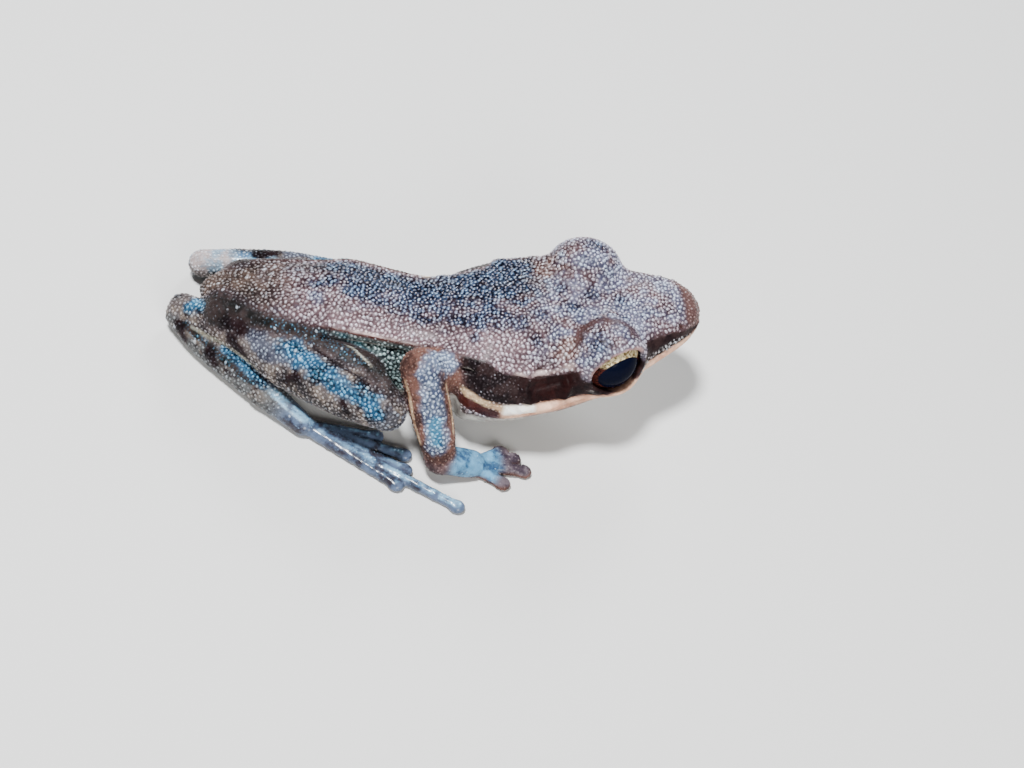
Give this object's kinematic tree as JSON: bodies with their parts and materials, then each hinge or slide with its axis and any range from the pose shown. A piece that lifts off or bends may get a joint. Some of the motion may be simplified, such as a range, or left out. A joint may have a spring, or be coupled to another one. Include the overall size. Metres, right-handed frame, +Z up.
{
  "type": "golden-backed frog, still life-size model",
  "caption": "Small slender stream frog sitting low with folded legs, raised elbows, head turned aside, back folds and large eyes.",
  "frame": {"origin": "on the floor under the middle of the whole frog's bounding box", "axes": "+X towards the head, +Y towards the frog's left, +Z up"},
  "size_m": [0.0417, 0.025, 0.0119],
  "materials": {
    "skin": "moist, grained, with pale granules",
    "eye": "wet gloss"
  },
  "bodies": {
    "root": {"head": "skin", "torso": "skin", "upper_arm_right": "skin", "upper_arm_left": "skin", "forearm_right": "skin", "forearm_left": "skin", "hand_right": "skin", "hand_left": "skin", "thigh_right": "skin", "thigh_left": "skin", "shank_right": "skin", "shank_left": "skin", "tarsus_right": "skin", "tarsus_left": "skin", "foot_right": "skin", "foot_left": "skin", "eye_right": "eye", "eye_left": "eye"}
  },
  "joints": []
}
